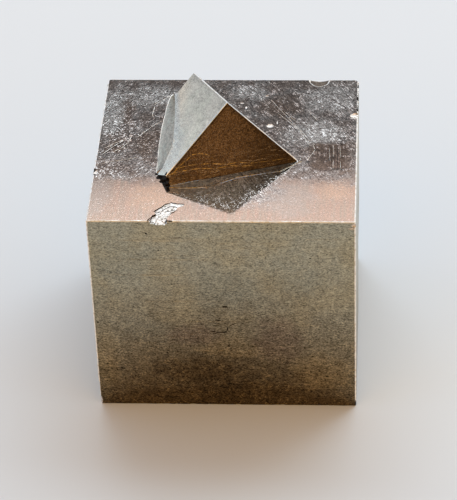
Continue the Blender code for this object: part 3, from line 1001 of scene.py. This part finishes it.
def small_face(graph, finish):
    """The small cube's smooth pale faces, with painted light: lighter low down and towards the
    front, and warmer near the foot.
    """
    place = graph.millimetres()
    _, y, z = graph.parts(place)
    clouds = graph.noise(place, 0.22, 4.0, 0.6)
    speckle = graph.noise(place, 3.0, 2.0, 0.7)
    specks = graph.cells(place, 0.7).over(0.14, 0.06)
    leaning = graph.mapped(place, turn=(0.0, 0.0, -20.0), scale=(1.1, 0.25, 0.4))
    ribs = graph.noise(leaning, 1.0, 3.0, 0.6)
    colour = graph.mix(clouds.over(0.4, 0.62), finish.small_pale, finish.small_green)
    # Painted light: the faces turn warmer and lighter near their foot
    colour = graph.mix((z + clouds.swing(2.0)).over(49.5, 45.8), colour, finish.small_foot_painted_light)
    # Painted light: lighter low down and towards the front; the speckle, ribs and specks are the
    # faces' own tone
    shade = 2.57 - z * 0.034 - y * 0.0142 + speckle.swing(1.9) + ribs.swing(0.9) - specks * 0.26
    colour = graph.shaded(colour, shade)
    roughness = 0.1 + speckle * 0.12
    return metal(graph, colour, roughness, speckle + ribs * 0.5, 0.003)


def small_front(graph, finish):
    """The small cube's front face: wrinkled along its foot, darker to the right and low down."""
    place = graph.millimetres()
    _, _, z = graph.parts(place)
    right, left = (along_face(graph, place, SMALL_TURN.to_matrix().col[axis]) for axis in (0, 1))
    speckle = graph.noise(place, 3.2, 2.0, 0.7)
    clouds = graph.noise(place, 0.35, 3.0, 0.6)
    slanted = graph.mapped(place, turn=(0.0, -40.0, 30.0), scale=(2.0, 0.6, 0.6))
    weave = graph.noise(slanted, 1.0, 2.0, 0.65)
    level = graph.mapped(place, scale=(0.14, 0.14, 1.5))
    wrinkles = threads(graph.noise(level, 1.0, 3.0, 0.6, 0.4), 0.02)
    low = (z + weave.swing(2.0)).over(50.5, 46.5)
    dark_corner = (right - left * 0.25 + clouds.swing(9.0)).over(4.0, 13.0)
    rim = (left + speckle.swing(0.8)).over(1.3, 0.1)
    rim += (right + speckle.swing(0.3)).over(0.7, 0.4)
    colour = graph.mix(speckle.over(0.35, 0.65), finish.brown_dark, finish.brown_light)
    colour = graph.mix(low * 0.65, colour, finish.brown_dark)
    colour = graph.mix(dark_corner * 0.8, colour, finish.brown_deep)
    colour = graph.mix(rim.held() * 0.7, colour, finish.brown_deep)
    shade = 1.08 - left.over(8.0, 26.0) * 0.36 - left.over(7.0, 1.0) * 0.1
    for field, amount in ((weave, 0.9), (speckle, 2.1), (clouds, 0.8)):
        shade += field.swing(amount)
    colour = graph.shaded(colour, shade)
    colour = graph.mix(wrinkles * low * 0.65, colour, finish.brown_gold)
    roughness = 0.09 + speckle * 0.06 + wrinkles * low * 0.16
    return metal(graph, colour, roughness, weave + speckle, 0.004)


def foot_face(graph, finish):
    """The low facet at the small cube's foot, ribbed along its length."""
    place = graph.millimetres()
    x, y, _ = graph.parts(place)
    ribs = graph.noise(graph.mapped(place, scale=(1.6, 0.3, 1.6)), 1.0, 3.0, 0.6)
    grain = graph.noise(place, 2.0, 3.0, 0.65)
    colour = graph.mix(ribs.over(0.4, 0.75), finish.foot, finish.satin_olive)
    outer = (x + grain.swing(1.2)).over(-12.0, -12.7)
    end = (y + grain.swing(2.0)).over(-5.5, -8.0)
    shade = 1.0 + outer * 0.25 - end * 0.35 + grain.swing(2.3) + ribs.swing(0.9)
    colour = graph.shaded(colour, shade)
    return metal(graph, colour, 0.26 + ribs * 0.14, ribs + grain * 0.5, 0.01)


def worn_edge_and_highlight(graph, finish):
    """The rubbed strip along each edge, near white: partly a painted highlight."""
    place = graph.millimetres()
    _, y, z = graph.parts(place)
    rub = graph.noise(place, 1.4, 3.0, 0.6)
    colour = graph.mix(rub.over(0.45, 0.7), finish.edge, finish.metal)
    spared = y.over(16.0, 22.0) * (z + rub.swing(12.0)).over(26.0, 9.0)
    colour = graph.mix(spared, colour, finish.satin_olive)
    # Painted shade: the rubbed edges turn near black where the cube stands on the floor
    colour = graph.mix((z + rub.swing(2.0)).over(1.6, 0.9), colour, finish.hollow)
    colour = graph.mix(spots(graph, place, LEDGE_SPOTS) * 0.9, colour, finish.edge_cool)
    return metal(graph, colour, 0.24 + rub * 0.16, rub, 0.01, metallic=0.3)


def fresh_flake(graph, finish):
    """Broken surfaces: silvery and grainy."""
    place = graph.millimetres()
    grain = graph.noise(place, 1.7, 4.0, 0.65)
    crumbs = graph.cells(place, 1.3).over(0.34, 0.2)
    veins = threads(graph.noise(place, 0.9, 3.0, 0.6), 0.05)
    colour = graph.mix((crumbs + veins * 0.7).held() * 0.85, finish.flake, finish.satin_dusk)
    return metal(graph, colour, 0.5 + grain * 0.2, grain, 0.2)


def oxide_and_shade_hollow(graph, finish):
    """Deep breaks, pits and grooves: dark with oxide, and with painted shade."""
    place = graph.millimetres()
    grain = graph.noise(place, 2.0, 4.0, 0.65)
    colour = graph.mix(grain.over(0.56, 0.75), finish.hollow, finish.satin_brown)
    return metal(graph, colour, 0.45 + grain * 0.2, grain, 0.08)


def matte_floor(graph, studio):
    """A matte surface with a faint mottle."""
    mottle = graph.noise(graph.millimetres(), 0.02, 3.0)
    colour = graph.mix(mottle, [part * 0.985 for part in studio.floor], studio.floor)
    return {"Base Color": colour, "Roughness": 0.7}


# In the order of the kinds of surface
FINISHES = (
    mirror_face, satin_face, small_face, small_front,
    foot_face, worn_edge_and_highlight, fresh_flake, oxide_and_shade_hollow,
)  # fmt: skip


# ---------------------------------------------------------------- settings


def colour_setting(name, description, default):
    """A colour that a user may change."""
    return FloatVectorProperty(
        name=name,
        description=description,
        default=default,
        size=3,
        min=0.0,
        max=2.0,
        subtype="COLOR",
    )


def length_setting(name, description, default):
    """A length that a user may change, in metres."""
    return FloatProperty(
        name=name,
        description=description,
        default=default,
        min=0.0,
        unit="LENGTH",
        subtype="DISTANCE",
    )


def angle_setting(name, description, angle):
    """An angle that a user may change. Its default is given in degrees."""
    default = radians(angle)
    return FloatProperty(name=name, description=description, default=default, subtype="ANGLE")


class PyriteShape(bpy.types.PropertyGroup):
    """Sizes of the crystal."""

    small_side: length_setting("Small cube", "Side of the small cube", 27.2 * MM)
    edge_wear: length_setting("Edge wear", "Width of the large cube's rubbed edges", 0.25 * MM)
    small_edge: length_setting(
        "Small edge wear", "Width of the small cube's rubbed edges", 0.18 * MM
    )
    waviness: length_setting("Waviness", "How far the faces depart from flat", 0.001 * MM)
    fineness: IntProperty(
        name="Fineness", description="Cuts across the large cube's faces", default=60, min=2
    )
    seed: IntProperty(
        name="Seed", description="Sets the random nicks and roughness", default=7, min=1
    )


class PyriteFinish(bpy.types.PropertyGroup):
    """Colours of the metal and its tarnish."""

    metal: colour_setting("Metal", "Clean polished pyrite", (0.66, 0.585, 0.48))
    metal_rose: colour_setting("Rosy metal", "Rosier streaks of the polish", (0.71, 0.57, 0.46))
    metal_warm: colour_setting("Warm metal", "Rosiest patches of the polish", (0.84, 0.66, 0.50))
    metal_pale: colour_setting("Pale polish", "Palest patches of the polish", (0.66, 0.63, 0.56))
    mirror_dark: colour_setting("Etched metal", "Etched part of the top face", (0.48, 0.43, 0.37))
    mirror_grey: colour_setting("Grey metal", "Greyer patches of the top face", (0.60, 0.61, 0.57))
    mirror_brown: colour_setting("Brown metal", "Brown patches of the top face", (0.40, 0.31, 0.23))
    mirror_bare: colour_setting("Bared metal", "Dark patch by the small cube", (0.34, 0.26, 0.19))
    mirror_haze: colour_setting("Hazy metal", "Hazy patches of the top face", (0.80, 0.84, 0.79))
    # Painted reflection: the grey tint where the small cube's front face is mirrored in the top
    # face
    painted_reflection_grey: colour_setting("Film", "Grey film before the small cube", (0.62, 0.68, 0.67))
    mirror_deep: colour_setting("Deep metal", "Shaded sides of the scratches", (0.16, 0.13, 0.12))
    scratch: colour_setting("Scratch", "Fine scratches", (0.86, 0.79, 0.72))
    scratch_rose: colour_setting("Rosy scratch", "Scratches of the calm front", (0.84, 0.70, 0.60))
    satin_olive: colour_setting("Olive tarnish", "Most of the side faces", (0.395, 0.37, 0.28))
    satin_gold: colour_setting("Gold tarnish", "Warmer patches of the sides", (0.42, 0.365, 0.245))
    satin_grey: colour_setting("Grey tarnish", "Greyer patches of the sides", (0.325, 0.32, 0.255))
    satin_dusk: colour_setting("Dusky tarnish", "Half way down the sides", (0.235, 0.192, 0.124))
    satin_amber: colour_setting("Amber tarnish", "Golden patches low down", (0.33, 0.225, 0.10))
    satin_moss: colour_setting("Mossy tarnish", "Green patches low in front", (0.22, 0.20, 0.15))
    satin_plum: colour_setting("Plum tarnish", "Purplish patches in front", (0.20, 0.145, 0.11))
    satin_brown: colour_setting("Brown tarnish", "Low on the side faces", (0.106, 0.068, 0.03))
    small_pale: colour_setting("Pale metal", "The small cube's pale faces", (0.70, 0.665, 0.575))
    small_green: colour_setting("Green metal", "Greener patches of those faces", (0.64, 0.63, 0.53))
    # Painted light: the warmer, lighter foot of the small cube's pale faces
    small_foot_painted_light: colour_setting("Low metal", "The pale faces near their foot", (0.85, 0.735, 0.58))
    foot: colour_setting("Foot", "The low facet at the small cube's foot", (0.46, 0.375, 0.275))
    brown_light: colour_setting("Light brown", "The small cube's front face", (0.66, 0.56, 0.40))
    brown_dark: colour_setting("Dark brown", "Darker grain of that face", (0.50, 0.40, 0.27))
    brown_gold: colour_setting("Gold brown", "Wrinkles of that face", (0.76, 0.66, 0.52))
    brown_deep: colour_setting("Deep brown", "Dark rim and corner of that face", (0.20, 0.16, 0.10))
    # Near white: partly a painted highlight on the rubbed edges, glinting scratches and bright
    # lines
    edge: colour_setting("Edge", "Rubbed edges", (0.96, 0.94, 0.89))
    # A cooler painted highlight on the front ledge's rims
    edge_cool: colour_setting("Cool edge", "Rubbed rims of the front ledge", (0.46, 0.66, 0.92))
    flake: colour_setting("Flake", "Fresh broken surfaces", (0.88, 0.80, 0.73))
    # Near black: oxide, and painted shade in pits, breaks, cracks and grooves and at the cube's
    # foot
    hollow: colour_setting("Hollow", "Oxide in pits and breaks", (0.02, 0.015, 0.012))


class PyriteStudio(bpy.types.PropertyGroup):
    """The plain studio round the specimen."""

    floor: colour_setting("Floor", "Matte floor", (0.66, 0.685, 0.70))
    backdrop: colour_setting("Backdrop", "What the camera sees past the floor", (0.78, 0.79, 0.80))
    wall_dark: colour_setting("Dark wall", "Low part of the wall behind", (0.2, 0.19, 0.2))
    wall_rose: colour_setting("Rosy wall", "Band of the wall over the dark part", (1.0, 0.86, 0.86))
    wall_bright: colour_setting("Bright wall", "Upper wall behind", (0.78, 0.88, 1.0))
    wall_left: colour_setting("Left wall", "Wall to the left", (0.72, 0.88, 1.12))
    wall_right: colour_setting("Right wall", "Wall to the right", (0.90, 0.93, 0.96))
    room_low: colour_setting("Room, low", "Low part of the room in front", (0.14, 0.07, 0.03))
    room_high: colour_setting("Room, high", "Upper part of the room in front", (1.45, 0.77, 0.15))
    ceiling: colour_setting("Ceiling", "Straight above", (0.3, 0.28, 0.3))
    wall_line: angle_setting("Wall line", "Height angle where the wall behind turns bright", 35.75)
    key_colour: colour_setting("Key colour", "Colour of the softbox behind", (0.72, 0.87, 1.0))
    key_power: FloatProperty(
        name="Key power", description="Power of the softbox", default=6.0, unit="POWER"
    )
    key_width: length_setting("Key width", "Width of the softbox", 0.9)
    key_depth: length_setting("Key depth", "Depth of the softbox", 0.42)
    key_height: angle_setting("Key height", "Height angle of the softbox", 56.0)
    key_turn: angle_setting("Key turn", "How far the softbox stands to the right", 12.0)
    key_distance: length_setting("Key distance", "From the specimen to the softbox", 0.9)
    lens: FloatProperty(name="Lens", description="Focal length", default=183.6, unit="CAMERA")


# ---------------------------------------------------------------- operators


class PYRITE_OT_crystal(bpy.types.Operator):
    """Builds the large cube with the small cube grown through it"""

    bl_idname = "pyrite.crystal"
    bl_label = "Crystal"

    def execute(self, context):
        shape_settings = context.scene.pyrite_shape
        chance = random.Random(shape_settings.seed)
        noise.seed_set(shape_settings.seed)
        crystal = object_from(large_cube(shape_settings), "pyrite_cubes", context.scene.collection)
        for finish in FINISHES:
            material = finished(finish.__name__, finish, context.scene.pyrite_finish)
            crystal.data.materials.append(material)

        growths = tool_collection("growths")
        small_cube(shape_settings, growths)
        foot_facet(growths)
        growth_ledges(growths)
        combine(crystal, growths, "UNION")

        chips = tool_collection("chips")
        foot_lines(chips)
        flake_scar(chips)
        corner_bites(chips)
        edge_flakes(chips)
        cracks(chips)
        edge_nicks(chance, chips)
        front_pits(chips)
        top_scratches(chips)
        small_cube_lines(chips)
        growth_steps(chips)
        striations(chance, chips)
        combine(crystal, chips, "DIFFERENCE")
        put_in_order(crystal)

        crystal.data.shade_smooth()
        crystal.data.set_sharp_from_angle(angle=SHARP_ANGLE)
        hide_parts(NODE)
        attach(crystal, BODY)
        return {"FINISHED"}


class PYRITE_OT_stage(bpy.types.Operator):
    """Sets up the floor, the light and the camera"""

    bl_idname = "pyrite.stage"
    bl_label = "Stage"

    def execute(self, context):
        studio = context.scene.pyrite_studio
        context.scene.view_settings.view_transform = "Standard"
        floor(studio, context.scene.collection)
        room(studio, context.scene)
        softbox(studio, context.scene.collection)
        context.scene.camera = camera(studio, context.scene.collection)
        return {"FINISHED"}


def floor(studio, collection):
    """A wide round floor."""
    shape = bmesh.new()
    bmesh.ops.create_circle(shape, cap_ends=True, segments=96, radius=FLOOR_RADIUS)
    made = object_from(shape, "floor", collection)
    made.data.materials.append(finished("floor", matte_floor, studio))


def room(studio, scene):
    """A world that the polished faces mirror: dark low wall and bright upper wall behind, warm in
    front. The camera itself sees a plain pale backdrop."""
    world = bpy.data.worlds.new("room")
    world.use_nodes = True
    graph = Graph(world.node_tree)
    direction = graph.node("ShaderNodeTexCoord").outputs["Generated"]
    across, back, up = graph.parts(direction)
    line = sin(studio.wall_line)  # like up, the sine of the height angle
    wall = graph.mix(up.over(line - 0.004, line + 0.004), studio.wall_dark, studio.wall_rose)
    wall = graph.mix(up.over(line + 0.05, line + 0.12), wall, studio.wall_bright)
    left = graph.mix(up.over(0.62, 0.85), studio.wall_left, studio.ceiling)
    right = graph.mix(up.over(0.75, 0.92), studio.wall_right, studio.ceiling)
    side = graph.mix(across.over(-0.3, 0.3), left, right)
    wall = graph.mix(abs(across).over(0.3, 0.5), wall, side)
    front = graph.mix(up.over(0.12, 0.45), studio.room_low, studio.room_high)
    walls = graph.mix(back.over(-0.65, -0.15), front, wall)
    colour = graph.mix(up.over(0.86, 0.94), walls, studio.ceiling)
    seen = graph.node("ShaderNodeLightPath").outputs["Is Camera Ray"]
    colour = graph.mix(seen, colour, studio.backdrop)
    light = graph.node("ShaderNodeBackground", {}, {"Color": colour, "Strength": 1.0})
    graph.node("ShaderNodeOutputWorld", {}, {"Surface": light.outputs[0]})
    scene.world = world


def softbox(studio, collection):
    """A rectangular light behind, turned to the middle of the large cube."""
    light = bpy.data.lights.new("softbox", "AREA")
    light.shape = "RECTANGLE"
    light.size = studio.key_width
    light.size_y = studio.key_depth
    light.energy = studio.key_power
    light.color = studio.key_colour
    made = bpy.data.objects.new("softbox", light)
    collection.objects.link(made)
    height, turn = studio.key_height, studio.key_turn
    away = Vector((sin(turn) * cos(height), cos(turn) * cos(height), sin(height)))
    made.location = away * studio.key_distance + Vector((0.0, 0.0, TOP / 2))
    made.rotation_euler = away.to_track_quat("Z", "Y").to_euler()


def camera(studio, collection):
    """Looks down at the front, a little from the right."""
    turn, down, roll = (radians(angle) for angle in CAMERA_ANGLES)
    forward = Vector((sin(turn) * cos(down), cos(turn) * cos(down), -sin(down)))
    level = Vector((cos(turn), -sin(turn), 0.0))
    raised = level.cross(forward)
    right = level * cos(roll) + raised * sin(roll)
    upward = raised * cos(roll) - level * sin(roll)
    matrix = Matrix((right, upward, -forward)).transposed().to_4x4()
    matrix.translation = CAMERA_PLACE
    data = bpy.data.cameras.new("camera")
    data.lens = studio.lens
    data.clip_start = 0.01
    made = bpy.data.objects.new("camera", data)
    made.matrix_world = matrix
    collection.objects.link(made)
    return made


class PYRITE_PT_panel(bpy.types.Panel):
    """Lists the specimen's settings and operators"""

    bl_label = "Pyrite"
    bl_idname = "PYRITE_PT_panel"
    bl_space_type = "VIEW_3D"
    bl_region_type = "UI"
    bl_category = "Pyrite"

    def draw(self, context):
        for name, group in GROUPS.items():
            box = self.layout.box()
            for setting in group.__annotations__:
                box.prop(getattr(context.scene, name), setting)
        for operator in OPERATORS:
            self.layout.operator(operator.bl_idname)


OPERATORS = (PYRITE_OT_crystal, PYRITE_OT_stage)
GROUPS = {"pyrite_shape": PyriteShape, "pyrite_finish": PyriteFinish, "pyrite_studio": PyriteStudio}
CLASSES = (*GROUPS.values(), *OPERATORS, PYRITE_PT_panel)


def register():
    """Adds the classes, and gives each scene its settings."""
    for made in CLASSES:
        bpy.utils.register_class(made)
    for name, group in GROUPS.items():
        setattr(bpy.types.Scene, name, PointerProperty(type=group))


def unregister():
    """Takes the settings and the classes away again."""
    for name in GROUPS:
        delattr(bpy.types.Scene, name)
    for made in reversed(CLASSES):
        bpy.utils.unregister_class(made)


def main():
    """Builds the crystal and its stage."""
    register()
    bpy.ops.pyrite.crystal()
    bpy.ops.pyrite.stage()


if __name__ == "__main__":
    main()
